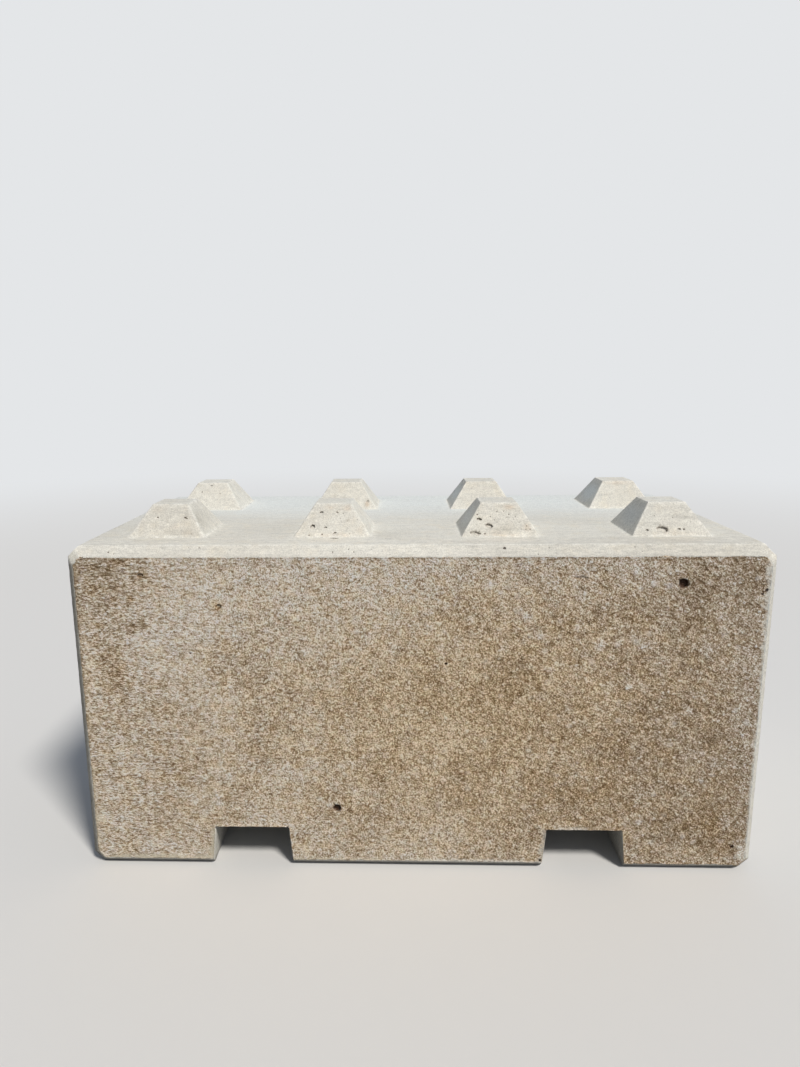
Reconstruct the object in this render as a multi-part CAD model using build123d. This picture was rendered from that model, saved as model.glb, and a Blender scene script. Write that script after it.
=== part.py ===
"""Interlocking concrete wall block, cast in one piece.

Millimetres, +Z up. The origin is the centre of the underside. X runs along the
block, and the rough face, where the mould was filled, looks along -Y. Studs on
the top fit the sockets in the underside of the block above, and two fork
pockets run through the underside from the rough face to the back.
"""
from build123d import *
import math
import os

# The block
length = 1600.0
depth = 800.0
height = 800.0

# Its cut edges: those that the mould formed, the sides and foot of the rough
# face, which are cut less, and the nips off the corners of that face
edge_chamfer = 24.0
rim_chamfer = 16.0
corner_nip = 18.0

# Studs: square frustums on a grid centred on the top
stud_base = 186.0
stud_top = 88.0
stud_height = 74.0
stud_round = 4.0
stud_root = 5.0
stud_pitch = 400.0

# Sockets: the stud's own form, wider on each side and deeper
socket_clearance = 4.0
socket_headroom = 6.0

# Fork pockets: channels with sloping sides
pocket_width = 178.0
pocket_height = 103.0
pocket_draft = 5.5
pocket_round = 6.0

# How far the solids that cut a pocket run past the block
overrun = 20.0


def studs_along(side):
    """How many studs fit between the cut edges of a side."""
    return int((side - 2 * edge_chamfer - stud_base) // stud_pitch) + 1


def foot_first(corner):
    """Order in which the foot of the rough face comes first and the top of the back last."""
    return corner.Y + corner.Z


def chamfered_block():
    """Three prisms, one from each outline of the block with its corners cut, where all three meet."""
    plan = Rectangle(length, depth)
    plan = chamfer(plan.vertices().group_by(Axis.Y)[0], rim_chamfer)
    plan = chamfer(plan.vertices().group_by(Axis.Y)[-1], edge_chamfer)

    front = Plane.XZ * Pos(0, height / 2) * Rectangle(length, height)
    front = chamfer(front.vertices(), edge_chamfer)

    end = Plane.YZ * Pos(0, height / 2) * Rectangle(depth, height)
    end = chamfer(end.vertices().sort_by(foot_first)[1:], edge_chamfer)
    end = chamfer(end.vertices().sort_by(foot_first)[0], rim_chamfer)

    upward = extrude(plan, height)
    backward = extrude(front, depth / 2, both=True)
    sideways = extrude(end, length / 2, both=True)
    return upward & backward & sideways


def nip_corner(block, side, face_z, arris_z):
    """Cut one corner of the rough face back to the end of the upright cut edge beside it."""
    inward = math.copysign(corner_nip, height / 2 - face_z)
    rim_x = side * (length / 2 - rim_chamfer)
    along = Vector(rim_x - side * corner_nip, -depth / 2, face_z)
    down = Vector(rim_x, -depth / 2, face_z + inward)
    arris = Vector(side * length / 2, rim_chamfer - depth / 2, arris_z)
    normal = (down - along).cross(arris - along)
    if normal.Y > 0:
        normal = -normal
    return split(block, bisect_by=Plane(origin=along, z_dir=normal), keep=Keep.BOTTOM)


def frustum(base, rise):
    """Square frustum on z = 0 with the stud's slope, rounded on its slanting and top edges."""
    slope = math.degrees(math.atan((stud_base - stud_top) / 2 / stud_height))
    solid = extrude(Rectangle(base, base), rise, taper=slope)
    raised = solid.edges().filter_by(lambda edge: edge.center().Z > rise / 4)
    return fillet(raised, stud_round)


def stud():
    return frustum(stud_base, stud_height)


def socket():
    """The hollow that a stud fits."""
    return frustum(stud_base + 2 * socket_clearance, stud_height + socket_headroom)


def fork_pocket():
    """Channel through the depth of the block, wider at its mouth."""
    rise = pocket_height + overrun
    mouth = pocket_width + 2 * rise * math.tan(math.radians(pocket_draft))
    channel = Trapezoid(mouth, rise, 90 - pocket_draft, align=(Align.CENTER, Align.MAX))
    section = Plane.XZ * Pos(0, pocket_height) * channel
    section = fillet(section.vertices().group_by(Axis.Z)[-1], pocket_round)
    return extrude(section, depth / 2 + overrun, both=True)


def wall_block():
    columns = studs_along(length)
    rows = studs_along(depth)
    grid = GridLocations(stud_pitch, stud_pitch, columns, rows)

    block = chamfered_block()
    for side in (-1, 1):
        block = nip_corner(block, side, height - edge_chamfer, height - edge_chamfer)
        block = nip_corner(block, side, rim_chamfer, edge_chamfer)

    block += Pos(0, 0, height) * grid * stud()
    roots = block.edges().filter_by_position(Axis.Z, height, height)
    roots = roots.filter_by(lambda edge: abs(edge.center().X) < length / 2 - 2 * edge_chamfer)
    roots = roots.filter_by(lambda edge: abs(edge.center().Y) < depth / 2 - 2 * edge_chamfer)
    block = fillet(roots, stud_root)

    # The pockets lie midway between the last two columns of studs at each end
    pockets = GridLocations(stud_pitch * (columns - 2), 0, 2, 1)
    block -= grid * socket()
    block -= pockets * fork_pocket()
    return block


os.makedirs("parts", exist_ok=True)
export_step(wall_block(), "parts/wall_block.step")
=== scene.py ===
"""Looks of the interlocking concrete wall block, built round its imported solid.

The block's flat faces are cut into fine triangles with air holes between them,
their arrises are worn, and the rough face gets its relief. Everything is in
metres in the solid's own frame: X along the block, +Z up, and the rough face
looks along -Y. Sizes written in millimetres carry the factor MM, but the tables
of holes, stains and tones are in plain millimetres.
"""
import math

import bmesh
import bpy
import numpy as np
from mathutils import Euler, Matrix, Vector, geometry, noise


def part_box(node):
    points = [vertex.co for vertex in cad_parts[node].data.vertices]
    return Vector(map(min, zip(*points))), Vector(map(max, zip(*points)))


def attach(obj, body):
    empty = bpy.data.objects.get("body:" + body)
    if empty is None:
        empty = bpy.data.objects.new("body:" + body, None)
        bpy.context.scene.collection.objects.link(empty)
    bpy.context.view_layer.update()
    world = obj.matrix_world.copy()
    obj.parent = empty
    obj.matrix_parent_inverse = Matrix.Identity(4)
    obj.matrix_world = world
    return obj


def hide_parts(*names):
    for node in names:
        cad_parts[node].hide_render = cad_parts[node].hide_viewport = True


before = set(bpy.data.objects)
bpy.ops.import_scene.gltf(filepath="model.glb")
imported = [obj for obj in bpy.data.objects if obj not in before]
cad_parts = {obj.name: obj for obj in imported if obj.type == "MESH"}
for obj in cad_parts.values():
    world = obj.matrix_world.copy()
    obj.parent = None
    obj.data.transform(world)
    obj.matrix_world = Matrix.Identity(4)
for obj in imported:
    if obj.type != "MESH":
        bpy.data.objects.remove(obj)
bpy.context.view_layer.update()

MM = 0.001
NODE = "wall_block"
SKIN = "wall_block_skin"

rng = np.random.default_rng(4117)

# The solid's own sizes: its grid of studs, its cut edges and its fork pockets
COLUMNS = 4
ROWS = 2
STUD_PITCH = 400 * MM
STUD_HALF = 93 * MM
STUD_TIP_HALF = 44 * MM
STUD_HEIGHT = 74 * MM
STUD_SLOPE = (STUD_HALF - STUD_TIP_HALF) / STUD_HEIGHT
EDGE_CUT = 24 * MM
RIM_CUT = 16 * MM
POCKET_HALF = 89 * MM
POCKET_TOP = 103 * MM
POCKET_SLOPE = math.tan(math.radians(5.5))

# Its main planes, read from its box: the rough face, the right end and the bed between the studs
low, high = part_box(NODE)
FRONT = round(low.y, 6)
END = round(high.x, 6)
BED = round(high.z - STUD_HEIGHT, 6)

# How near a point lies to a plane that it is on
NEAR = 0.01 * MM

# Points nearer than this are welded, and edges shorter than the second length are taken out
WELD = 0.02 * MM
SLIVER = 0.005 * MM

# Two triangles are in one plane if they turn and lie apart less than this
SAME_TURN = math.radians(0.25)
SAME_LEVEL = 0.03 * MM

# Breadth under which a flat face is a facet of a rounded edge
FACET = 3.5 * MM

# Least angle between two planes that makes an arris of the edge between them
ARRIS_ANGLE = math.radians(12)

# Distance from an arris to the row of points beside it, and how much of the arris's wear they take
RING = 2.6 * MM
RING_WEAR = 0.16

# How far apart the points lie on each kind of flat face
ROUGH_STEP = 5.4 * MM
FRONT_STEP = 6.5 * MM
STUD_STEP = 8.5 * MM
BED_STEP = 12.0 * MM
PLAIN_STEP = 25.0 * MM
FACET_STEP = 45.0 * MM

# How straight forward the normal of the rough face points
STRAIGHT = 0.999

# Faces whose centre is this far above the bed belong to studs
ABOVE_BED = 5 * MM


def is_rough(normal):
    return normal.y < -STRAIGHT


def spacing_of(normal, centre, breadth):
    """How far apart the points on a flat face of the solid lie."""
    if is_rough(normal):
        return ROUGH_STEP
    if breadth < FACET:
        return FACET_STEP
    if normal.y < -0.5:
        # Cut edges round the rough face and the front faces of the studs
        return FRONT_STEP
    if normal.z > 0.4 and centre.z > BED + ABOVE_BED:
        return STUD_STEP
    if normal.z > 0.5:
        return BED_STEP
    return PLAIN_STEP


def holes_on(normal, centre):
    """Air holes for each square metre of a flat face, and their usual radius."""
    if is_rough(normal):
        return 9, 1.7 * MM
    if normal.y < -0.5 and centre.z < BED:
        # The cut edges round the rough face
        return 180, 1.3 * MM
    if centre.z > BED + ABOVE_BED:
        # The studs' front and left faces show in the photo, and have only the holes listed below
        return (0 if normal.y < -0.5 or normal.x < -0.5 else 240), 1.7 * MM
    if normal.z > 0.9:
        # The bed
        return 60, 1.5 * MM
    if normal.z < -0.4:
        # The underside and the sockets
        return 20, 3.0 * MM
    return 50, 2.6 * MM


# The solid's faces


def welded_solid():
    """The solid's triangles as a bmesh in which neighbours share their points."""
    mesh = bmesh.new()
    mesh.from_mesh(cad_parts[NODE].data)
    bmesh.ops.remove_doubles(mesh, verts=mesh.verts, dist=WELD)
    bmesh.ops.dissolve_degenerate(mesh, edges=mesh.edges, dist=SLIVER)
    bmesh.ops.triangulate(mesh, faces=[f for f in mesh.faces if len(f.verts) > 3])
    mesh.normal_update()
    return mesh


def in_plane(face, seed):
    """Whether a triangle lies in the plane of another."""
    apart = abs((face.verts[0].co - seed.verts[0].co).dot(seed.normal))
    return face.normal.dot(seed.normal) > math.cos(SAME_TURN) and apart < SAME_LEVEL


def flat_regions(mesh):
    """Groups of touching triangles that lie in one plane, largest triangle first."""
    owner = {}
    groups = []
    for seed in sorted(mesh.faces, key=lambda f: -f.calc_area()):
        if seed in owner:
            continue
        owner[seed] = len(groups)
        group = [seed]
        for face in group:
            for edge in face.edges:
                for other in edge.link_faces:
                    if other not in owner and in_plane(other, seed):
                        owner[other] = len(groups)
                        group.append(other)
        groups.append(group)
    return groups, owner


# Flat outlines, as the two ends of each segment


def inside(points, starts, ends):
    """Which points lie inside the closed outlines made of the segments, by counting crossings."""
    crossings = np.zeros(len(points), int)
    x, y = points[:, 0], points[:, 1]
    for (ax, ay), (bx, by) in zip(starts, ends):
        if ay == by:
            continue
        spans = (ay > y) != (by > y)
        crossings += spans & (x < (bx - ax) * (y - ay) / (by - ay) + ax)
    return crossings % 2 == 1


def distance(points, starts, ends):
    """Distance from each point to the nearest of the segments."""
    nearest = np.full(len(points), np.inf)
    for a, b in zip(starts, ends):
        along = b - a
        share = ((points - a) @ along / max(along @ along, 1e-18)).clip(0, 1)
        nearest = np.minimum(nearest, np.linalg.norm(points - a - share[:, None] * along, axis=1))
    return nearest


def thinned(points, gap):
    """The points without those that lie closer than the gap to one before them."""
    cells = {}
    kept = []
    around = (-1, 0, 1)
    for i, (u, v) in enumerate(points):
        cu, cv = int(u // gap), int(v // gap)
        near = [j for du in around for dv in around for j in cells.get((cu + du, cv + dv), ())]
        if all((points[j][0] - u) ** 2 + (points[j][1] - v) ** 2 >= gap * gap for j in near):
            cells.setdefault((cu, cv), []).append(i)
            kept.append(i)
    return points[kept]


def triangle_neighbours(triangles, segments):
    """For each triangle, those that share a side with it that isn't a segment."""
    walls = {frozenset(pair) for pair in segments}
    sharing = {}
    for k, triangle in enumerate(triangles):
        for pair in zip(triangle, triangle[1:] + triangle[:1]):
            side = frozenset(pair)
            if side not in walls:
                sharing.setdefault(side, []).append(k)
    neighbours = {}
    for one, *two in sharing.values():
        if two:
            neighbours.setdefault(one, []).append(two[0])
            neighbours.setdefault(two[0], []).append(one)
    return neighbours


def filled(points, segments, starts, ends):
    """Triangles that fill the outline: all that the largest one inside reaches without crossing a segment."""
    if len(points) == 3:
        return [[segments[0][0], segments[0][1], segments[1][1]]]
    made = geometry.delaunay_2d_cdt([Vector(p) for p in points], segments, [], 0, 1e-5, True)
    source = np.array([old[0] for old in made[3]])
    found = source[np.array(made[2])]
    a, b, c = (points[found[:, k]] for k in range(3))
    areas = np.abs((b - a)[:, 0] * (c - a)[:, 1] - (b - a)[:, 1] * (c - a)[:, 0])
    seed = int(np.argmax(areas * inside((a + b + c) / 3, starts, ends)))
    neighbours = triangle_neighbours(found.tolist(), segments)
    reached = {seed}
    queue = [seed]
    for k in queue:
        for other in neighbours.get(k, ()):
            if other not in reached:
                reached.add(other)
                queue.append(other)
    return found[sorted(reached)].tolist()


# Air holes

# A hole reaches this many of its half-widths out. Its face has room for it if the outline is this many of
# the lesser half-width away, and the margin more.
HOLE_REACH = 1.45
HOLE_ROOM = 1.35
HOLE_MARGIN = 0.6 * MM

# A listed hole lies on a face if it is this near its plane
HOLE_NEAR = 0.8 * MM

# Half-width from which a hole gets a steep wall and a rounded lip
LARGE_HOLE = 3 * MM

# Rings of points in a hole: how far out, how many, share of the depth, and share of the darkness. The
# darkness is painted shade, with dirt in the holes that are dark all over; on a large hole it is strongest on
# the wall ring.
SMALL_RINGS = ((0.6, 5, 0.85, 1.0), (1.0, 7, 0.1, 0.1), (1.4, 8, 0.0, 0.0))
LARGE_RINGS = (
    (0.5, 8, 0.9, 0.0), (0.88, 16, 1.0, 0.35), (0.98, 16, 0.7, 1.0), (1.05, 16, 0.0, 0.3),
    (1.3, 12, 0.0, 0.0),
)

# The outline of a hole is uneven at this many places
HOLE_BULGES = 24


def air_hole(place, wide, tall, depth, turn=0.0, aim=None, dark=0.75, dirt_and_shade=False):
    """A hole's size as half-widths, and its long axis as an angle in its face or as a direction.

    Small ones, and those filled with dirt and shade, are painted dark all over: partly dirt, partly painted
    shade. The other large ones get a band of painted shade round their wall, and the light shapes the rest.
    """
    return {"place": place, "wide": wide, "tall": tall, "depth": depth, "turn": turn, "aim": aim,
            "dark": dark, "dirt_and_shade": dirt_and_shade}


def overlap(spot, hole, at, other):
    """Whether two holes would come too close to each other."""
    along, up = (spot - at) / HOLE_REACH
    if abs(along) > abs(up):
        return abs(along) < hole["wide"] + other["wide"]
    return abs(up) < hole["tall"] + other["tall"]


def clear_of(points, spot, hole, gap):
    """The points that lie at least the gap outside a hole's outermost ring."""
    along, up = (points - spot).T
    across = along * math.cos(hole["turn"]) + up * math.sin(hole["turn"])
    risen = up * math.cos(hole["turn"]) - along * math.sin(hole["turn"])
    wide = HOLE_REACH * hole["wide"] + gap
    tall = HOLE_REACH * hole["tall"] + gap
    return points[np.hypot(across / wide, risen / tall) > 1]


def hole_points(spot, hole):
    """Points of an irregular air hole, from its floor to the flat round it: place, depth and darkness, which
    is painted shade and dirt.
    """
    wide, tall, depth = hole["wide"], hole["tall"], hole["depth"]
    turn, dark, dirt_and_shade = hole["turn"], hole["dark"], hole["dirt_and_shade"]
    made = [(*spot, depth, dark)]
    rings = SMALL_RINGS
    uneven = rng.uniform(0.88, 1.1, HOLE_BULGES)
    if wide > LARGE_HOLE:
        made = [(*spot, 0.8 * depth, dark * dirt_and_shade)]
        rings = LARGE_RINGS
        least, most = (0.86, 1.13) if dirt_and_shade else (0.95, 1.05)
        uneven = np.repeat(rng.uniform(least, most, HOLE_BULGES // 2), 2)
    for reach, count, share, shade in rings:
        for k in range(count):
            angle = 2 * math.pi * (k + 0.25 * (count < 16)) / count
            size = reach * uneven[k * HOLE_BULGES // count]
            along, up = wide * size * math.cos(angle), tall * size * math.sin(angle)
            made.append((spot[0] + along * math.cos(turn) - up * math.sin(turn),
                         spot[1] + along * math.sin(turn) + up * math.cos(turn),
                         share * depth, max(shade, dirt_and_shade and reach < 1) * dark))
    return made


# The skin


class Skin:
    """The points and triangles of the finished block, with what each point's looks need."""

    def __init__(self):
        self.place = []
        self.normal = []
        self.pit = []
        self.dark = []
        self.edge = []
        self.facet = []
        self.triangles = []

    def add(self, place, pit=0.0, dark=0.0, edge=0.0):
        self.place.append(np.array(place, float))
        self.normal.append(np.zeros(3))
        self.pit.append(pit)
        self.dark.append(dark)
        self.edge.append(edge)
        self.facet.append(0.0)
        return len(self.place) - 1


class Region:
    """One flat face of the solid, with its own axes and how fine it is cut."""

    def __init__(self, number, group, owner):
        self.number = number
        self.group = group
        self.normal = group[0].normal.copy()
        self.origin = group[0].verts[0].co.copy()
        self.area = sum(f.calc_area() for f in group)
        self.centre = sum((f.calc_center_median() * f.calc_area() for f in group), Vector()) / self.area
        sides = [e for f in group for e in f.edges if owner[e.link_faces[0]] != owner[e.link_faces[1]]]
        self.breadth = 2 * self.area / sum(e.calc_length() for e in sides)
        self.step = spacing_of(self.normal, self.centre, self.breadth)
        self.across = self.normal.orthogonal().normalized()
        if abs(self.normal.z) < 0.9:
            self.across = self.normal.cross(Vector((0, 0, 1))).normalized()
        self.up = self.normal.cross(self.across)
        self.axes = np.array([self.across, self.up])

    def trace(self, owner, runs, arrises):
        """Reads the outline: its runs of points, its segments, and which of them are arrises."""
        self.outline, self.is_arris, self.inward = [], [], []
        starts, ends = [], []
        for face in self.group:
            for loop in face.loops:
                edge = loop.edge
                if all(owner[f] == self.number for f in edge.link_faces):
                    continue
                far = edge.other_vert(loop.vert).co
                self.outline.append(runs[edge] if loop.vert == edge.verts[0] else runs[edge][::-1])
                self.is_arris.append(edge in arrises)
                self.inward.append(self.normal.cross((far - loop.vert.co).normalized()))
                starts.append(self.axes @ (loop.vert.co - self.origin))
                ends.append(self.axes @ (far - self.origin))
        self.sides = np.array([starts, ends])

    def ring_points(self, skin):
        """A row of points beside each arris."""
        ring = []
        for run, arris, way in zip(self.outline, self.is_arris, self.inward):
            if arris:
                offset = self.axes @ way * RING
                ring += [self.axes @ (skin.place[i] - np.array(self.origin)) + offset for i in run]
        ring = np.array(ring).reshape(-1, 2)
        if len(ring):
            fits = inside(ring, *self.sides) & (distance(ring, *self.sides) > 0.93 * RING)
            ring = thinned(ring[fits], (0.55 if self.step < 8 * MM else 0.3) * self.step)
        return ring

    def lattice_points(self, first, last):
        """Points in shaken rows all over the face, between its lowest and highest corners."""
        lattice = []
        for k, row in enumerate(np.arange(first[1] + 0.3 * self.step, last[1], 0.9 * self.step)):
            columns = np.arange(first[0] + (0.25 + 0.5 * (k % 2)) * self.step, last[0], self.step)
            lattice += [(column, row) for column in columns]
        lattice = np.array(lattice).reshape(-1, 2)
        lattice += rng.uniform(-0.22, 0.22, lattice.shape) * self.step
        if len(lattice):
            clear = RING + 0.4 * self.step if any(self.is_arris) else 0.5 * self.step
            lattice = lattice[inside(lattice, *self.sides)]
            lattice = lattice[distance(lattice, *self.sides) > clear]
        return lattice

    def wanted_holes(self, listed, lattice):
        """The listed air holes that lie in the face's plane, and others scattered over its points."""
        wanted = []
        for hole in listed:
            offset = hole["place"] - self.origin
            if abs(offset.dot(self.normal)) < HOLE_NEAR:
                hole["turn"] = math.atan2(self.up.dot(hole["aim"]), self.across.dot(hole["aim"]))
                wanted.append((self.axes @ offset, hole))
        density, usual = holes_on(self.normal, self.centre)
        for _ in range(rng.poisson(density * self.area) if len(lattice) else 0):
            radius = usual * rng.lognormal(0.0, 0.35)
            spot = lattice[rng.integers(len(lattice))]
            tall = radius * rng.uniform(0.6, 1.0)
            depth = radius * rng.uniform(0.8, 1.4)
            wanted.append((spot, air_hole(None, radius, tall, depth, rng.uniform(0, math.pi))))
        return wanted

    def holes(self, listed, lattice):
        """The wanted air holes that have room inside the face and beside each other."""
        holes = []
        for spot, hole in self.wanted_holes(listed, lattice):
            here = np.array([spot])
            room = distance(here, *self.sides)[0] - HOLE_MARGIN
            fits = inside(here, *self.sides)[0] and room >= HOLE_ROOM * min(hole["wide"], hole["tall"])
            if fits and not any(overlap(spot, hole, at, other) for at, other in holes):
                holes.append((spot, hole))
        return holes

    def inner_points(self, skin, flat, listed):
        """Points inside the outline: place, depth, darkness and share of an arris's wear."""
        ring = self.ring_points(skin)
        lattice = self.lattice_points(flat.min(0), flat.max(0))
        holes = self.holes(listed, lattice)
        for spot, hole in holes:
            ring = clear_of(ring, spot, hole, 0.5 * MM)
            lattice = clear_of(lattice, spot, hole, 0.35 * self.step)
        rims = np.array([point for spot, hole in holes for point in hole_points(spot, hole)]).reshape(-1, 4)
        return np.vstack([
            np.pad(ring, ((0, 0), (0, 3))) + (0, 0, 0, 0, RING_WEAR),
            np.pad(lattice, ((0, 0), (0, 3))),
            np.pad(rims, ((0, 0), (0, 1))),
        ])

    def cut(self, skin, listed):
        """Adds the face's points and triangles to the skin."""
        origin = np.array(self.origin)
        ids = sorted({i for run in self.outline for i in run})
        flat = (np.array([skin.place[i] for i in ids]) - origin) @ self.axes.T
        inner = np.zeros((0, 5))
        if self.breadth > FACET:
            inner = self.inner_points(skin, flat, listed)
        order = ids + [skin.add(origin + point[:2] @ self.axes, *point[2:]) for point in inner]
        for i in order:
            skin.normal[i] += np.array(self.normal)
        for i in ids:
            skin.facet[i] = max(skin.facet[i], self.breadth < FACET)
        index = {i: k for k, i in enumerate(ids)}
        segments = [(index[a], index[b]) for run in self.outline for a, b in zip(run, run[1:])]
        points = np.vstack([flat, inner[:, :2]]) / MM
        for triangle in filled(points, segments, *(self.sides / MM)):
            skin.triangles.append([order[k] for k in triangle])


def cut_edges(mesh, owner, regions, skin):
    """The run of points along each edge between two flat faces, and the edges that are arrises."""
    corner = {v: skin.add(v.co) for v in mesh.verts}
    runs = {}
    arrises = set()
    for edge in mesh.edges:
        one, two = (regions[owner[f]] for f in edge.link_faces)
        if one is two:
            continue
        count = max(1, math.ceil(edge.calc_length() / min(one.step, two.step)))
        a, b = edge.verts
        first, last = np.array(a.co, float), np.array(b.co, float)
        between = [skin.add(first + (last - first) * k / count) for k in range(1, count)]
        runs[edge] = [corner[a], *between, corner[b]]
        bend = edge.link_faces[0].normal.dot(edge.link_faces[1].normal)
        broad = min(one.breadth, two.breadth) > FACET
        if broad and edge.is_convex and bend < math.cos(ARRIS_ANGLE):
            arrises.add(edge)
            for i in runs[edge]:
                skin.edge[i] = 1.0
    return runs, arrises


def refine(mesh, listed):
    """The solid's skin, cut into triangles of the size that each face asks for."""
    groups, owner = flat_regions(mesh)
    regions = [Region(number, group, owner) for number, group in enumerate(groups)]
    skin = Skin()
    runs, arrises = cut_edges(mesh, owner, regions, skin)
    for region in regions:
        region.trace(owner, runs, arrises)
        region.cut(skin, listed)
    return skin


# What the photo shows, place by place

# Air holes on the front faces of the studs, by column and row: how far right of the stud's middle and above
# the bed, half the width and half the height, and by how many degrees the right end hangs
STUD_HOLES = {
    (0, 0): (
        (-27, 44.5, 2.9, 2.0, 0), (42.5, 42.6, 4.8, 2.1, 36), (-66, 31.5, 1.9, 1.5, 0),
        (60, 8, 1.4, 1.1, 0),
    ),
    (1, 0): (
        (-27.5, 54, 4.3, 2.6, 0), (10, 53.7, 3.1, 2.3, 32), (-47.5, 23, 5.4, 5.4, 28),
        (-16.4, 21, 3.3, 1.9, 5), (-24.3, 6.5, 2.8, 1.7, 0), (6.5, 9.2, 3.9, 2.0, -22),
        (-55.5, 4.6, 2.1, 1.6, 0), (25, 52, 1.4, 1.2, 0), (36, 35, 1.3, 1.0, 0), (41, 7, 1.3, 1.0, 0),
        (18, 40, 1.1, 0.9, 0),
    ),
    (2, 0): (
        (-53, 48, 2.6, 1.9, 0), (-49, 38, 5.8, 3.2, 14), (-26, 23.5, 8.4, 5.2, 18), (-60, 8, 12.0, 4.6, 8),
        (-37, 6.5, 3.0, 1.9, 0), (-6, 54, 1.8, 1.4, 0), (10, 55, 1.5, 1.2, 0), (-22, 43.6, 1.5, 1.3, 0),
        (-13, 36, 1.6, 1.3, 0), (-7, 31.5, 1.3, 1.1, 0), (22, 48, 1.8, 1.6, 0), (17, 42, 1.4, 1.2, 0),
        (37, 42.6, 1.5, 1.2, 0), (32, 37.5, 1.3, 1.1, 0), (62, 23, 1.8, 1.5, 0), (60, 15.5, 1.5, 1.2, 0),
        (70, 15.5, 1.7, 1.3, 0), (49, 16.5, 1.3, 1.1, 0), (45, 30, 1.2, 1.0, 0), (-70, 5, 1.5, 1.2, 0),
    ),
    (3, 0): (
        (-56, 13, 3.4, 2.2, 0), (-20, 15, 13.0, 6.6, 14), (19, 15, 3.6, 2.4, 0), (30, 15, 2.9, 2.4, 0),
        (48, 30, 1.4, 1.2, 0), (8, 40, 1.3, 1.1, 0), (-34, 44, 1.3, 1.1, 0),
    ),
    (0, 1): ((-3, 66, 3.4, 1.6, 0), (-29, 49, 2.4, 1.8, 0), (25, 44, 2.2, 1.6, 0)),
    (1, 1): ((66, 22, 3.8, 1.8, 0),),
}

# Air holes in the bed: X and Y, half the width and half the depth of the mouth, and by how many degrees
# the right end comes forward
BED_HOLES = (
    (-194.5, -304.5, 10.8, 5.0, 23), (-72, -309, 2.6, 2.0, 0), (-62, -267, 2.0, 1.6, 0),
    (-23, -171, 2.2, 1.8, 0), (-670, -307, 2.4, 1.8, 0), (-485, -265, 2.8, 2.3, 0),
    (-698, -262, 2.4, 2.2, 0), (-632, -303, 2.8, 2.3, 0), (341, 54, 2.4, 2.2, 0), (-60, -305, 1.6, 1.4, 0),
)

# Air holes in the rough face: X and height, half the width and half the height, depth, and how dark they are
# painted, partly dirt and partly painted shade
ROUGH_HOLES = (
    (593, 713.8, 10.8, 11.8, 9, 0.92), (-191.5, 155.5, 9.8, 8.4, 8, 0.92), (750.8, 64, 3.8, 4.8, 5, 0.95),
    (66.6, 523.9, 3.4, 3.1, 5, 1.0), (776.5, 698.7, 3.1, 4.0, 4, 0.7), (767.6, 689.5, 3.3, 2.2, 3, 0.8),
    (368, 728, 13.0, 0.8, 2, 0.6), (-630, 733.5, 7.0, 5.2, 3, 0.28), (-453, 659, 5.6, 7.0, 3, 0.34),
    (297, 21, 3.2, 3.1, 4, 0.9),
)

# Air holes in the cut edge above it: X, height and half the width
RIM_HOLES = ((196.4, 792.7, 3.3), (-702.9, 786.9, 2.9), (296, 793, 1.8), (-689, 783.5, 1.7))

# Stains on the front faces of the studs, by column and row: how far right and above, reach along and up,
# how much paler, and how much warmer
STAINS = {
    (0, 0): (
        (52, 10, 14, 8, -0.9, 0.4), (12, 13, 22, 7, -0.7, 0.1), (22, 23, 14, 5, 0.0, 0.4),
        (-62, 20, 6, 13, -1.0, 0.3), (-30, 62, 16, 8, -0.4, 0.3), (44, 30, 10, 8, -0.5, 0.2),
    ),
    (1, 0): (
        (34, 63, 12, 5, -0.3, 1.0), (-8, 65, 11, 4, 0.0, 0.8), (66, 15, 12, 8, -0.2, 0.4),
        (8, 4, 42, 4, 0.0, 0.8), (38, 33, 14, 5, -0.4, 0.2), (0, 35, 90, 45, 0.25, 0.0),
    ),
    (2, 0): (
        (10, 18, 25, 10, -1.3, 0.1), (24, 64, 13, 5, -0.2, 1.2), (64, 20, 10, 8, -0.6, 0.9),
        (6, 3, 50, 3, 0.0, 0.7), (80, 8, 9, 7, -0.6, 0.0), (-12, 10, 14, 6, -0.3, 0.4),
        (0, 35, 90, 45, 0.3, 0.0),
    ),
    (3, 0): ((36, 44, 20, 14, -0.2, 0.0), (10, 4, 60, 4, -0.3, 0.5)),
    (1, 1): ((64, 14, 6, 7, -1.0, 1.8),),
    (3, 1): ((0, 70, 45, 5, -0.1, 1.0),),
}

# A stain reaches no further than this in depth, so it stays on its own row of studs
STAIN_DEPTH = 60

# Stains, and painted light and shade, elsewhere on the cast faces: X, Y and height of the middle, the three
# reaches, how much paler, and how much warmer. The rows on the left wall of the left pocket and on the upper
# left corner facet are painted light, and the rows on the studs' left faces, at X 130 and 530, are painted
# shade, which makes those faces cooler and sets how dark they are.
MARKS_AND_PAINTED_LIGHT = (
    (-532, -248, 836, 22, 17, 26, -1.1, 0.2), (790, -391, 20, 14, 14, 18, 3.0, -0.5),
    (-791, -392, 782, 15, 15, 20, 3.0, 0.7), (-494, -388, 50, 14, 22, 55, 2.6, 0.5),
    (-540, -200, 810, 20, 30, 12, -0.5, 0.0), (290, -250, 800, 60, 40, 6, -0.5, 0.1),
    (-90, -260, 800, 60, 45, 6, -0.4, 0.1), (530, -200, 837, 26, 80, 40, -0.7, -0.75),
    (130, -200, 837, 26, 80, 40, 0.6, -0.6), (130, 200, 837, 26, 80, 40, 0.2, -0.8),
    (530, 200, 837, 26, 80, 40, -0.1, -0.9), (-525, -215, 845, 20, 35, 22, -0.8, 0.0),
    (-494, -370, 50, 12, 90, 60, 2.0, 0.0),
)

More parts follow.
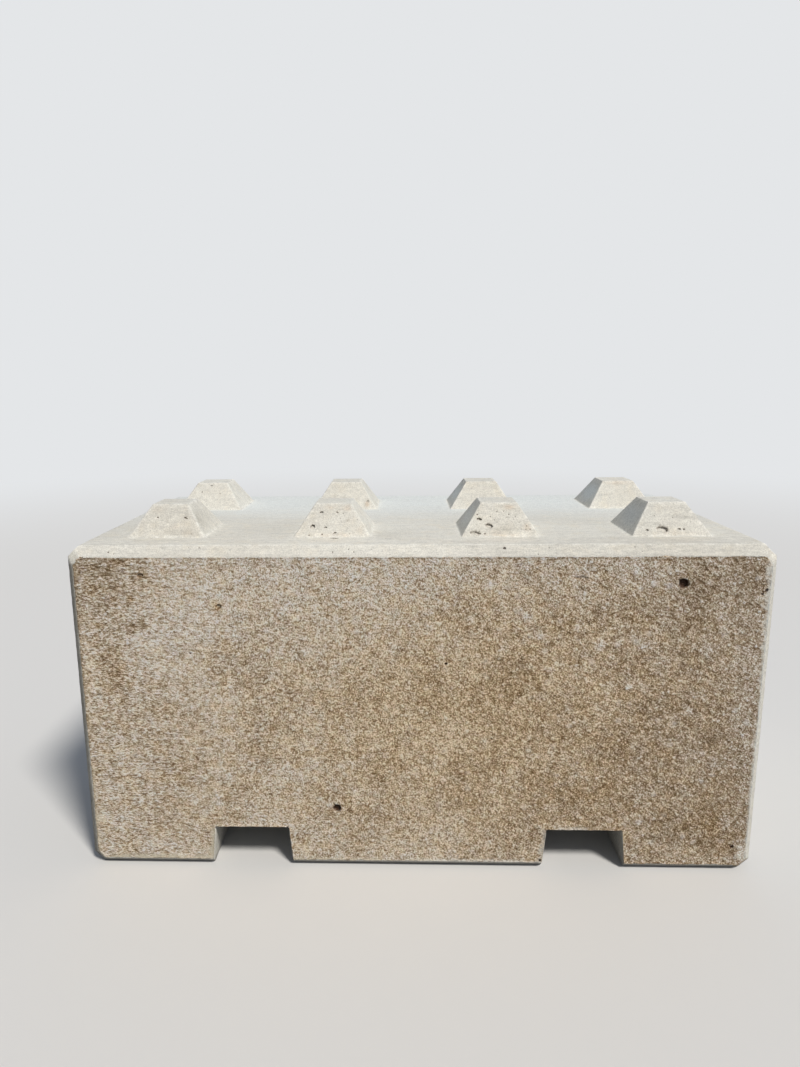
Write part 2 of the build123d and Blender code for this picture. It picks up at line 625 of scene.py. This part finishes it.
# Changes of tone on the rough face: X and height of the middle, reach along and up, how much paler, and how
# much warmer
ROUGH_TONES = (
    (-728, 712, 100, 88, -3.7, -0.1), (-700, 770, 70, 26, -1.6, -0.2), (-712, 490, 38, 68, -3.4, 0.4),
    (-590, 610, 150, 150, 0.9, -0.4), (-120, 730, 500, 110, 1.4, -0.25), (130, 380, 380, 280, -0.2, 1.0),
    (-650, 250, 150, 250, 0.0, -0.2), (622, 693, 28, 66, -1.8, -0.1), (745, 735, 46, 56, -1.8, -0.9),
    (640, 715, 150, 60, -0.25, -0.5), (775, 400, 45, 400, 0.2, -1.0), (-450, 45, 350, 40, 0.6, -0.1),
    (0, 40, 250, 30, 0.6, 0.0), (440, 200, 80, 60, -0.3, 0.3), (651, 115, 24, 27, -1.0, 0.4),
    (560, 320, 210, 280, -0.6, -0.1), (-330, 380, 150, 120, -0.2, 0.1), (375, 585, 90, 50, 0.5, 0.0),
    (460, 735, 120, 80, 0.6, -0.15), (0, 775, 900, 50, 0.0, -0.3), (350, 750, 200, 60, 0.0, -0.2),
    (310, 216, 70, 60, -0.4, 0.0),
    (-631, 734, 15, 12, -4.6, 0.3), (-456, 658, 11, 13, -4.6, 1.4), (-654, 615, 7, 6, -6.0, 0.2),
    (-632, 615, 7, 9, -6.0, 0.2), (-663, 600, 8, 6, -6.0, 0.2), (-568, 706, 9, 4, -4.5, 0.2),
    (-541, 671, 8, 4, -3.0, 1.4), (-656, 678, 7, 7, -2.5, 1.4), (-210, 166, 12, 8, 2.6, -0.2),
    (735, 150, 55, 110, -0.9, 0.5), (-620, 150, 30, 45, -0.9, 0.1), (-560, 250, 22, 30, -0.8, 0.0),
    (628, 408, 12, 10, 2.8, -1.3), (662, 562, 14, 10, 2.3, -1.1), (280, 587, 10, 9, 2.2, -1.1),
    (348, 413, 10, 9, 2.1, -1.1), (253, 636, 10, 8, 2.2, -1.1), (512, 564, 8, 9, 3.4, -1.5),
    (415, 567, 11, 7, 2.5, -1.3), (485, 467, 9, 8, 2.3, -1.1), (685, 636, 13, 9, 2.5, -1.1),
    (731, 130, 16, 26, 1.6, -0.9), (773, 44, 15, 24, 5.0, -0.9), (770, 680, 10, 9, 4.5, -0.9),
    (700, 280, 18, 22, 1.6, -1.0), (754, 55, 5, 7, -4.0, 0.2), (760, 42, 5, 7, -4.0, 0.2),
    (766, 31, 6, 5, -3.5, 0.2), (748, 42, 8, 14, -1.2, -0.4), (700, 122, 34, 34, -1.3, 0.4),
)


def on_stud(stud, right, rise):
    """A place on the front face of a stud, so far right of the stud's middle and above the bed."""
    column, row = stud
    x = STUD_PITCH * (column - (COLUMNS - 1) / 2) + right * MM
    y = STUD_PITCH * (row - (ROWS - 1) / 2) - STUD_HALF + rise * MM * STUD_SLOPE
    return Vector((x, y, BED + rise * MM))


def photo_holes():
    """The air holes that the photo shows."""
    holes = []
    for stud, rows in STUD_HOLES.items():
        for right, rise, wide, tall, tilt in rows:
            place = on_stud(stud, right, rise)
            aim = Vector((math.cos(math.radians(tilt)), 0, -math.sin(math.radians(tilt))))
            depth = min(0.8 * wide + 0.4 * tall, 6.0)
            holes.append(air_hole(place, wide * MM, tall * MM, depth * MM, aim=aim))
    # The holes in the bed, the rough face and the upper cut edge are painted dark all over: partly dirt,
    # partly painted shade.
    for x, y, wide, tall, swing in BED_HOLES:
        place = Vector((x * MM, y * MM, BED))
        aim = Vector((math.cos(math.radians(swing)), -math.sin(math.radians(swing)), 0))
        holes.append(air_hole(place, wide * MM, tall * MM, 1.2 * tall * MM, aim=aim, dark=0.95, dirt_and_shade=True))
    level = Vector((1, 0, 0))
    for x, z, wide, tall, depth, dark in ROUGH_HOLES:
        place = Vector((x * MM, FRONT, z * MM))
        holes.append(air_hole(place, wide * MM, tall * MM, depth * MM, aim=level, dark=dark, dirt_and_shade=True))
    for x, z, half in RIM_HOLES:
        place = Vector((x * MM, FRONT + z * MM - (BED - EDGE_CUT), z * MM))
        holes.append(air_hole(place, half * MM, 0.8 * half * MM, 1.3 * half * MM, aim=level, dirt_and_shade=True))
    return holes


# The relief


def wave(points, size, number):
    """Smooth noise between -1 and 1, another for each number, with swells about the given size across."""
    shift = Vector((number * 7.3, number * 3.1, number * 5.7))
    return np.array([noise.noise(Vector(p) / size + shift) for p in points])


def step_up(values, first, last):
    """0 below the first value, 1 above the last, and smooth between them."""
    share = ((values - first) / (last - first)).clip(0, 1)
    return share * share * (3 - 2 * share)


def struck_off(rough):
    """How deep the rough face lies in millimetres: swells, lumps and the grains that the screed left."""
    relief = 0.5 * (1 + wave(rough, 0.17, 6)) + 0.45 * (1 + wave(rough, 0.045, 7))
    relief += 0.5 * (1 + wave(rough, 0.018, 8)) + 0.9 * rng.uniform(0, 1, len(rough)) ** 2
    return relief


def worn(flat, edge, front):
    """How far each point lies inside the solid's own face, in millimetres."""
    depth = 0.12 * (1 + wave(flat, 0.12, 1))

    # Arrises worn all along, and chipped here and there
    wear = 0.45 + 0.35 * wave(flat, 0.03, 2) + 0.25 * wave(flat, 0.011, 3)
    chips = step_up(wave(flat, 0.026, 4), 0.35, 0.6) * (1.2 + 1.2 * wave(flat, 0.009, 5))
    depth += edge * (wear + chips).clip(0, None)

    depth[front] += struck_off(flat[front]) * (0.35 + 0.65 * (1 - edge[front]))

    # The upper right corner of the rough face is worn round
    corner = np.array((END - 9 * MM, FRONT + 9 * MM, BED - 10 * MM))
    near = 1 - np.linalg.norm(flat - corner, axis=1) / (40 * MM)
    return depth + 6.0 * near.clip(0, 1) ** 2


# The looks of each point


def spot_share(apart, reaches):
    """How strongly each point takes part in a round spot, from its distances to the spot's middle."""
    return np.exp(-((apart / np.array(reaches)) ** 2).sum(1))


def cast_tones(flat, normal):
    """How much paler and how much warmer each point of the cast faces is."""
    x, y, z = flat.T
    pale = np.zeros(len(flat))
    warm = np.where(normal[:, 1] < -0.5, 0.35, 0.0)

    # The bed is warm in front and cool at the back, and its front strip is streaked
    on_bed = np.abs(z - BED) < NEAR
    warm[on_bed] = 0.3 - 1.0 * step_up(y[on_bed], -0.36, 0.25)
    pale[on_bed] = -0.05 - 0.35 * step_up(-x[on_bed], 0.5, 0.65)
    strip = on_bed & (y < FRONT + 100 * MM)
    pale[strip] += 0.2 - 0.6 * wave(flat[strip] * (0.25, 1, 1), 0.016, 21)
    pale[strip] -= 0.55 * step_up(x[strip], 0.15, 0.4)

    # The cut edge above the rough face is palest near its middle
    reach = EDGE_CUT + 0.1 * MM
    rim = (z > BED - reach) & (y < FRONT + reach) & (~on_bed)
    pale[rim] -= 0.5 * step_up(x[rim], 0.0, 0.3) + 0.2 * step_up(-x[rim], 0.35, 0.55)
    pale[rim] += 0.12 + 0.25 * np.exp(-((x[rim] + 0.1) / 0.25) ** 2)
    return np.array([pale, warm])


def rough_tones(rough):
    """How much paler and how much warmer each point of the rough face is."""
    along = rough[:, 0] / END
    pale = -1.3 * along - 0.35 * step_up(along, 0.1, 0.6)
    warm = -0.1 - 0.2 * step_up(along, 0.35, 0.9)
    tones = np.array([pale, warm])
    for x, z, *reaches, paler, warmer in ROUGH_TONES:
        share = spot_share(rough[:, [0, 2]] / MM - (x, z), reaches)
        tones += np.outer((paler, warmer), share)
    return tones


def tones_of(flat, normal, front):
    """How much paler and how much warmer each point is."""
    tones = cast_tones(flat, normal)
    tones[:, front] = rough_tones(flat[front])
    x, y, z = flat.T
    for stud, rows in STAINS.items():
        for right, rise, along, up, paler, warmer in rows:
            apart = (flat - np.array(on_stud(stud, right, rise))) / MM
            reached = (np.abs(apart[:, 1]) < STAIN_DEPTH) & (z > BED)
            tones += np.outer((paler, warmer), spot_share(apart[:, [0, 2]], (along, up)) * reached)
    # Stains, and painted light and shade, on the other cast faces
    for *spot, along, deep, up, paler, warmer in MARKS_AND_PAINTED_LIGHT:
        share = spot_share(flat / MM - spot, (along, deep, up)) * (~front)
        tones += np.outer((paler, warmer), share)

    # The left rim of the rough face and the cut edge beside it are darker, partly stain and partly painted
    # shade, and the right one is pale
    to_side = END - RIM_CUT - np.abs(x)
    reach = RIM_CUT + 0.1 * MM
    beside = y < FRONT + reach
    left = beside & (x < reach - END) & (z < BED - 40 * MM)
    right = beside & (x > END - reach)
    tones[0] -= 2.6 * (front & (x <= 0)) * step_up(-to_side, -9 * MM, -3 * MM)
    tones[0, left] -= 2.1 + 0.9 * wave(flat[left], 0.05, 24)
    tones[1, left] += 0.5 * step_up(z[left], 0.6, 0.75)
    tones[0, right] += 1.05
    return tones


# The thickness of the film grows from none to full between these distances inside its border
FADE = (-2 * MM, 3 * MM)


def cement_film(flat):
    """How thickly a pale skin of cement covers each point of the rough face, from 0 to 1."""
    x, z = flat[:, 0], flat[:, 2]

    # Along the sides, all the way on the right and mostly near the foot on the left
    to_side = END - RIM_CUT - np.abs(x)
    uneven = 1 + 0.8 * wave(flat, 0.03, 22) + 0.6 * wave(flat, 0.011, 26)
    width = np.where(x > 0, 3.5 * MM + 6.5 * MM * step_up(z, 0.45, 0.68), 8 * MM) * uneven
    thick = np.where(x > 0, 1.0, 0.15 + 0.55 * step_up(-z, -0.35, -0.15))
    film = thick * step_up(width - to_side, *FADE)

    # Along the foot, up to the right pocket
    width = (5 * MM + 4 * MM * step_up(-x, 0.2, 0.4)) * (1 + 0.8 * wave(flat, 0.04, 23))
    film = np.maximum(film, step_up(RIM_CUT + width - z, -3 * MM, 3 * MM) * (x < 0.3))

    # Left of each pocket, and above the right one
    for middle, width, thick in ((-STUD_PITCH, 12 * MM, 0.9), (STUD_PITCH, 11 * MM, 0.6)):
        gap = middle - POCKET_HALF - (POCKET_TOP - z) * POCKET_SLOPE - x
        covered = step_up(width * (1 + 0.7 * wave(flat, 0.03, 25)) - gap, *FADE)
        film = np.maximum(film, thick * covered * (gap > -1 * MM) * (z < POCKET_TOP + 2 * MM))
    above = step_up(POCKET_TOP + 8 * MM - z, *FADE) * (z > POCKET_TOP - 1 * MM)
    smear = above * step_up(42 * MM - np.abs(x - 372 * MM), 0, 12 * MM)
    return np.maximum(film, 0.6 * smear)


def rough_outline():
    """The outline of the rough face as segments in X and Z."""
    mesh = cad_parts[NODE].data
    uses = {}
    for face in mesh.polygons:
        if is_rough(face.normal):
            places = [mesh.vertices[i].co for i in face.vertices]
            places = [(round(place.x, 6), round(place.z, 6)) for place in places]
            for pair in zip(places, places[1:] + places[:1]):
                side = frozenset(pair)
                uses[side] = uses.get(side, 0) + 1
    rim = [tuple(side) for side, count in uses.items() if count == 1]
    return np.array([a for a, b in rim]), np.array([b for a, b in rim])


def inset_of(flat, front):
    """How far inside the outline of the rough face each point lies, less than 0 outside it."""
    x, y, z = flat.T
    inset = -np.abs(y - FRONT) * math.sqrt(2)
    inset[front] = distance(flat[front][:, [0, 2]], *rough_outline())

    # The rough concrete laps over the upper cut edge near the left end, and over the lower right corner
    inset += 2.6 * MM * np.exp(-((x + 762 * MM) / (22 * MM)) ** 2) * (z > 770 * MM) * (~front)
    corner = (x > END - 40 * MM) & (y < FRONT + 14 * MM) & (np.abs(z - 18 * MM) < 15 * MM)
    inset[corner] += 12 * MM
    return inset


def build_block():
    """The finished block as one mesh, whose points carry what its material reads."""
    solid = welded_solid()
    skin = refine(solid, photo_holes())
    solid.free()
    flat = np.array(skin.place)
    edge = np.array(skin.edge)
    normal = np.array(skin.normal)
    normal /= np.linalg.norm(normal, axis=1)[:, None]
    front = np.abs(flat[:, 1] - FRONT) < NEAR
    depth = worn(flat, edge, front) * MM + np.array(skin.pit)

    mesh = bpy.data.meshes.new(SKIN)
    mesh.from_pydata((flat - normal * depth[:, None]).tolist(), [], skin.triangles)
    mesh.polygons.foreach_set("use_smooth", np.ones(len(mesh.polygons), bool))

    pale, warm = tones_of(flat, normal, front)
    layers = {
        "inset": inset_of(flat, front) / MM,
        "hole": np.array(skin.dark),
        "arris": np.maximum(edge, 0.7 * np.array(skin.facet)),
        "paler": pale,
        "warmer": warm,
        "film": cement_film(flat) * front,
    }
    for name, values in layers.items():
        layer = mesh.attributes.new(name, "FLOAT", "POINT")
        layer.data.foreach_set("value", values.astype(np.float32))
    block = bpy.data.objects.new(SKIN, mesh)
    bpy.context.scene.collection.objects.link(block)
    return block


# Materials


def linear(red, green, blue):
    """A colour given from 0 to 255 as it shows on a screen, for a shader."""
    def level(value):
        value /= 255
        return value / 12.92 if value <= 0.04045 else ((value + 0.055) / 1.055) ** 2.4
    return (level(red), level(green), level(blue), 1.0)


class Shader:
    """Adds nodes to a material or world and links them by the values that they are given."""

    def __init__(self, owner):
        owner.use_nodes = True
        self.tree = owner.node_tree
        self.tree.nodes.clear()

    def node(self, kind, inputs=(), out=0, **settings):
        made = self.tree.nodes.new("ShaderNode" + kind)
        for key, value in settings.items():
            setattr(made, key, value)
        for key, value in dict(inputs).items():
            self.feed(made.inputs[key], value)
        return made.outputs[out] if len(made.outputs) else made

    def feed(self, socket, value):
        if isinstance(value, bpy.types.NodeSocket):
            self.tree.links.new(value, socket)
        else:
            socket.default_value = value

    def noise(self, at, scale, detail=2.0, roughness=0.5, distortion=0.0):
        return self.node("TexNoise", {"Vector": at, "Scale": scale, "Detail": detail,
                                      "Roughness": roughness, "Distortion": distortion})

    def stretched(self, at, scale, detail, roughness, distortion=0.0):
        """Noise whose scale is another along each axis."""
        return self.noise(self.mapped(at, scale=scale), 1.0, detail, roughness, distortion)

    def cells(self, at, scale):
        """The distance to the nearest of many scattered points."""
        return self.node("TexVoronoi", {"Vector": at, "Scale": scale, "Randomness": 1.0}, feature="F1")

    def drawn(self, cells):
        """A number drawn at random for each of the points."""
        return self.node("SeparateColor", {"Color": cells.node.outputs["Color"]}, out="Red")

    def math(self, operation, a, b=0.0, c=0.0):
        return self.node("Math", {0: a, 1: b, 2: c}, operation=operation)

    def times(self, a, b):
        return self.math("MULTIPLY", a, b)

    def plus_part(self, value, part, share):
        """The value with a share of another added."""
        return self.math("MULTIPLY_ADD", part, share, value)

    def range(self, value, first, last, low=0.0, high=1.0, smooth=True):
        kind = "SMOOTHSTEP" if smooth else "LINEAR"
        return self.node("MapRange", {"Value": value, "From Min": first, "From Max": last,
                                      "To Min": low, "To Max": high}, interpolation_type=kind)

    def swing(self, value, low, high):
        """The middle of a noise spread evenly between two values."""
        return self.range(value, 0.3, 0.7, low, high, smooth=False)

    def mix(self, share, a, b, blend="MIX"):
        return self.node("Mix", {0: share, 6: a, 7: b}, out=2, data_type="RGBA", blend_type=blend)

    def tinted(self, colour, by):
        return self.mix(1.0, colour, by, "MULTIPLY")

    def between(self, share, a, b):
        """A number between two others."""
        return self.node("Mix", {0: share, 2: a, 3: b}, out=0, data_type="FLOAT")

    def mapped(self, at, turn=(0, 0, 0), scale=(1, 1, 1)):
        return self.node("Mapping", {"Vector": at, "Rotation": turn, "Scale": scale})

    def axis(self, at, name):
        return self.node("SeparateXYZ", {"Vector": at}, out=name)

    def ramp(self, value, stops):
        """A colour ramp, whose stops are the first, the last, and then those between them."""
        output = self.node("ValToRGB", {"Fac": value})
        elements = output.node.color_ramp.elements
        for k, (place, colour) in enumerate(stops):
            element = elements[k] if k < 2 else elements.new(place)
            element.position = place
            element.color = colour
        return output

    def attribute(self, name):
        return self.node("Attribute", out="Fac", attribute_name=name, attribute_type="GEOMETRY")


def cast_colour(s, at, speck):
    """The pale cast faces: clouds, streaks and scratches along the block, stains, arrises painted paler
    (partly wear, partly painted highlight), and pinholes painted dark (partly dirt, partly painted shade).
    """
    paler = s.attribute("paler")
    warmer = s.attribute("warmer")
    # Arrises and the facets of rounded edges are painted paler: partly wear, partly painted highlight.
    arris = s.times(s.attribute("arris"), s.range(s.noise(at, 60.0, 2.0), 0.35, 0.6))
    cloud = s.noise(at, 3.5, 4.0, 0.55)
    mottle = s.noise(at, 24.0, 4.0, 0.6)
    streak = s.stretched(at, (5, 48, 48), 4.0, 0.6)
    scratch = s.stretched(at, (7, 150, 60), 3.0, 0.6)
    colour = s.mix(s.range(cloud, 0.38, 0.62), linear(228, 225, 214), linear(222, 218, 206))
    for share, over in (
        (s.range(mottle, 0.45, 0.75, 0.0, 0.6), linear(228, 220, 202)),
        (s.range(streak, 0.5, 0.72, 0.0, 0.5), linear(205, 202, 192)),
        (s.range(scratch, 0.5, 0.7, 0.0, 0.45), linear(203, 200, 190)),
        # The tones read from the points: stains, and in some places painted light and painted shade, whose
        # cool tint is the first of these
        (s.range(warmer, 0.0, -0.9, 0.0, 0.8), linear(232, 237, 235)),
        (s.range(warmer, 0.0, 2.0, 0.0, 0.8), linear(226, 205, 180)),
        (s.range(paler, 0.0, -3.0, 0.0, 1.0, smooth=False), linear(173, 167, 152)),
        (s.range(paler, 0.0, 2.0, 0.0, 0.9, smooth=False), linear(252, 247, 232)),
        (s.times(arris, 0.7), linear(243, 240, 229)),
        (s.range(speck, 0.3, 0.7, 0.16, 0.0), linear(120, 114, 104)),
    ):
        colour = s.mix(share, colour, over)

    # Uneven brightness, with dashes along the block that are strongest near the rough face
    blotch = s.noise(at, 85.0, 4.0, 0.65)
    dash = s.stretched(at, (45, 120, 160), 3.0, 0.65)
    dashes = s.range(s.axis(at, "Y"), -0.33, -0.2, 0.48, 0.20)
    uneven = s.math("ADD", s.swing(speck, -0.08, 0.08), s.swing(blotch, 0.92, 1.08))
    colour = s.tinted(colour, s.plus_part(uneven, s.math("SUBTRACT", dash, 0.5), dashes))

    # Pinholes are painted as dark dots without a hollow: partly dirt, partly painted shade.
    near = s.range(s.cells(at, 75.0), 0.05, 0.11, 1.0, 0.0)
    pinhole = s.times(near, s.range(s.noise(at, 38.0, 1.0), 0.6, 0.66))
    return s.mix(s.times(pinhole, 0.75), colour, linear(70, 62, 52))


def sand(s, at, along, grain, clump):
    """How light the rough face is: pale grains and threads on brown.

    It is wrinkled along the block at its left end and brushed aslant at its right end.
    """
    slanting = s.mapped(at, turn=(0, math.radians(-34), 0))
    streak = s.stretched(at, (72, 110, 200), 2.0, 0.6, 0.3)
    stroke = s.stretched(slanting, (70, 200, 220), 2.0, 0.6, 0.3)
    strokes = s.between(s.range(along, -0.5, 0.45), streak, stroke)
    wrinkled = s.range(along, -0.35, -0.72)
    wrinkle = s.stretched(at, (170, 310, 400), 2.0, 0.6)
    fine = s.between(wrinkled, s.noise(at, 310.0, 2.0, 0.6), wrinkle)
    tone = s.times(grain, s.range(wrinkled, 0.0, 1.0, 0.25, 0.18, smooth=False))
    tone = s.plus_part(tone, strokes, s.range(wrinkled, 0.0, 1.0, 0.28, 0.35, smooth=False))
    tone = s.plus_part(tone, fine, 0.58)

    # The three shares come to 1.11, so their mean is 0.555
    contrast = s.range(along, 0.0, 0.6, 0.96, 0.90)
    tone = s.math("MULTIPLY_ADD", s.math("SUBTRACT", tone, 0.555), contrast, 0.585)

    thread = s.math("ABSOLUTE", s.math("SUBTRACT", s.noise(at, 120.0, 1.0, 0.5, 0.7), 0.5))
    tone = s.math("ADD", tone, s.range(thread, 0.0, 0.045, 0.050, -0.014))
    tone = s.math("ADD", tone, s.swing(clump, -0.020, 0.020))
    tone = s.math("ADD", tone, s.swing(s.noise(at, 9.0, 4.0, 0.6), -0.094, -0.044))
    return s.plus_part(tone, s.attribute("paler"), 0.019)


def sand_spots(s, at, along, grain, clump):
    """Where the rough face has pale spots, brown marks and white flecks."""
    def ragged(cells, share):
        return s.plus_part(s.plus_part(cells, grain, share), clump, share)

    cells = s.cells(at, 30.0)
    near = ragged(cells, 0.5)
    drawn = s.drawn(cells)
    spot = s.times(s.range(near, 0.77, 0.60), s.range(drawn, 0.54, 0.60))
    spot = s.times(spot, s.range(along, -0.5, 0.3, 0.6, 1.0))
    mark = s.times(s.range(near, 0.68, 0.58), s.range(drawn, 0.28, 0.22))
    cells = s.cells(at, 85.0)
    fleck = s.times(s.range(ragged(cells, 0.62), 0.96, 0.80), s.range(s.drawn(cells), 0.86, 0.88))
    return spot, mark, fleck


def rough_colour(s, at):
    """The brown sandy face where the mould was filled: its colour, and its tone for the bump."""
    along = s.axis(at, "X")
    grain = s.noise(at, 215.0, 3.0, 0.65)
    clump = s.noise(at, 45.0, 3.0, 0.6)
    spot, mark, fleck = sand_spots(s, at, along, grain, clump)
    tone = sand(s, at, along, grain, clump)
    tone = s.plus_part(tone, spot, 0.042)
    tone = s.plus_part(tone, mark, -0.060)
    tone = s.plus_part(tone, fleck, 0.085)
    colour = s.ramp(tone, (
        (0.370, linear(114, 94, 70)),
        (0.605, linear(255, 252, 244)),
        (0.437, linear(156, 134, 105)),
        (0.50, linear(200, 182, 156)),
        (0.558, linear(240, 227, 207)),
    ))
    chalky = s.math("MAXIMUM", s.times(spot, 0.35), s.times(fleck, 0.42))
    colour = s.mix(chalky, colour, linear(240, 237, 236))

    # Cool and warm patches, and a little green and pink from grain to grain
    hue = s.math("ADD", s.attribute("warmer"), s.swing(s.noise(at, 28.0, 3.0, 0.6), -0.7, 0.7))
    cool = s.tinted(colour, linear(247, 247, 253))
    warm = s.tinted(colour, linear(255, 244, 228))
    tint = s.range(s.noise(at, 70.0, 2.0), 0.35, 0.65, smooth=False)
    pink_or_green = s.mix(tint, linear(254, 249, 245), linear(251, 252, 244))
    colour = s.tinted(s.mix(s.range(hue, -1.2, 1.2), cool, warm), pink_or_green)

    film = s.times(s.attribute("film"), s.range(s.noise(at, 110.0, 3.0, 0.6), 0.3, 0.6, 0.2, 1.0))
    cement = s.mix(s.range(along, -0.1, 0.1), linear(222, 211, 186), linear(240, 235, 222))
    return s.mix(film, colour, cement), tone


def concrete():
    """Pale cast concrete and the rough face, with a ragged border between them."""
    material = bpy.data.materials.new("concrete")
    s = Shader(material)
    at = s.node("TexCoord", out="Object")
    speck = s.noise(at, 330.0, 2.0, 0.6)
    cast = cast_colour(s, at, speck)
    rough, tone = rough_colour(s, at)

    # How many millimetres inside the ragged border each place lies
    coarse = s.math("MULTIPLY_ADD", s.noise(at, 30.0, 2.0), 7.0, -6.6)
    ragged = s.math("MULTIPLY_ADD", s.noise(at, 160.0, 3.0, 0.65), 6.0, coarse)
    within = s.math("ADD", s.attribute("inset"), ragged)
    is_sandy = s.range(within, -0.5, 0.4)
    # A broken dark band just inside the ragged border is painted shade where the rough face meets the cut
    # edges.
    border_shade = s.times(s.range(within, 3.2, 0.6), s.range(s.noise(at, 42.0, 2.0), 0.5, 0.62, 0.0, 0.5))
    rough = s.mix(border_shade, rough, linear(96, 84, 72))
    # The air holes are painted dark: partly dirt, partly painted shade.
    colour = s.mix(s.attribute("hole"), s.mix(is_sandy, cast, rough), linear(70, 43, 29))

    height = s.between(is_sandy, s.times(speck, 0.25), tone)
    bump = s.node("Bump", {"Height": height, "Strength": 0.8, "Distance": 0.004})
    surface = s.node("BsdfPrincipled", {"Base Color": colour, "Roughness": 0.92,
                                        "Specular IOR Level": 0.25, "Normal": bump})
    s.node("OutputMaterial", {"Surface": surface})
    return material


# The studio

BACKGROUND = linear(228, 230, 232)

# The floor's radius, and how far out it melts into the background
FLOOR_RADIUS = 14.0
FLOOR_MELTS = (3.0, 9.0)

# Which way the sunlight goes, and the camera's place and turns in degrees, fitted to the photo
SUNLIGHT = (-0.37, 0.49, -0.78)
CAMERA_PLACE = (-0.0304, -1.9692, 1.1474)
CAMERA_YAW = 1.939
CAMERA_PITCH = -10.836
CAMERA_ROLL = 0.563


def add_stage():
    """A pale floor whose far part melts into the background."""
    mesh = bpy.data.meshes.new("studio_floor")
    shape = bmesh.new()
    bmesh.ops.create_circle(shape, cap_ends=True, radius=FLOOR_RADIUS, segments=96)
    shape.to_mesh(mesh)
    shape.free()
    floor = bpy.data.objects.new("studio_floor", mesh)
    bpy.context.scene.collection.objects.link(floor)

    material = bpy.data.materials.new("studio_floor")
    mesh.materials.append(material)
    s = Shader(material)
    far = s.node("VectorMath", {0: s.node("TexCoord", out="Object")}, out="Value", operation="LENGTH")
    seen = s.node("LightPath", out="Is Camera Ray")
    ground = s.node("BsdfDiffuse", {"Color": s.mix(seen, linear(124, 123, 122), linear(219, 217, 213))})
    haze = s.node("Emission", {"Color": BACKGROUND})
    share = s.times(s.range(far, *FLOOR_MELTS), seen)
    surface = s.node("MixShader", {0: share, 1: ground, 2: haze})
    s.node("OutputMaterial", {"Surface": surface})


def add_light():
    """One broad lamp from the upper right in front, as the sun stood in the photo, and a pale world."""
    lamp = bpy.data.lights.new("key", "SUN")
    lamp.energy = 2.92
    lamp.angle = math.radians(11)
    lamp.color = (1.0, 0.975, 0.94)
    key = bpy.data.objects.new("key", lamp)
    key.rotation_euler = Vector(SUNLIGHT).to_track_quat("-Z", "Y").to_euler()
    bpy.context.scene.collection.objects.link(key)

    # The world is a little brighter behind the block and darker to its left
    world = bpy.data.worlds.new("studio")
    bpy.context.scene.world = world
    s = Shader(world)
    way = s.node("TexCoord", out="Generated")
    behind = s.range(s.axis(way, "Y"), 0.0, 1.0, 0.27, 0.50)
    left = s.range(s.axis(way, "X"), 0.0, -1.0, 0.0, 0.16)
    strength = s.math("SUBTRACT", behind, left)
    light = s.node("Background", {"Color": (0.77, 0.88, 1.08, 1.0), "Strength": strength})
    backdrop = s.node("Background", {"Color": BACKGROUND})
    surface = s.node("MixShader", {0: s.node("LightPath", out="Is Camera Ray"), 1: light, 2: backdrop})
    s.node("OutputWorld", {"Surface": surface})


def add_camera():
    """The photo's own viewpoint, fitted to the block's edges and studs."""
    lens = bpy.data.cameras.new("camera")
    lens.sensor_width = 36.0
    lens.lens = 24.304
    lens.shift_x = 0.0194
    lens.shift_y = -0.0069
    lens.clip_end = 100.0
    camera = bpy.data.objects.new("camera", lens)
    camera.location = CAMERA_PLACE
    turn = Euler((0, 0, math.radians(CAMERA_YAW))).to_matrix()
    turn @= Euler((math.radians(CAMERA_PITCH), 0, 0)).to_matrix()
    turn @= Euler((0, math.radians(CAMERA_ROLL), 0)).to_matrix()
    turn @= Euler((math.pi / 2, 0, 0)).to_matrix()
    camera.rotation_euler = turn.to_euler()
    bpy.context.scene.collection.objects.link(camera)
    bpy.context.scene.camera = camera


add_camera()
add_light()
add_stage()
bpy.context.scene.view_settings.view_transform = "Standard"

block = build_block()
block.data.materials.append(concrete())
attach(block, "root")
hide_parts(NODE)
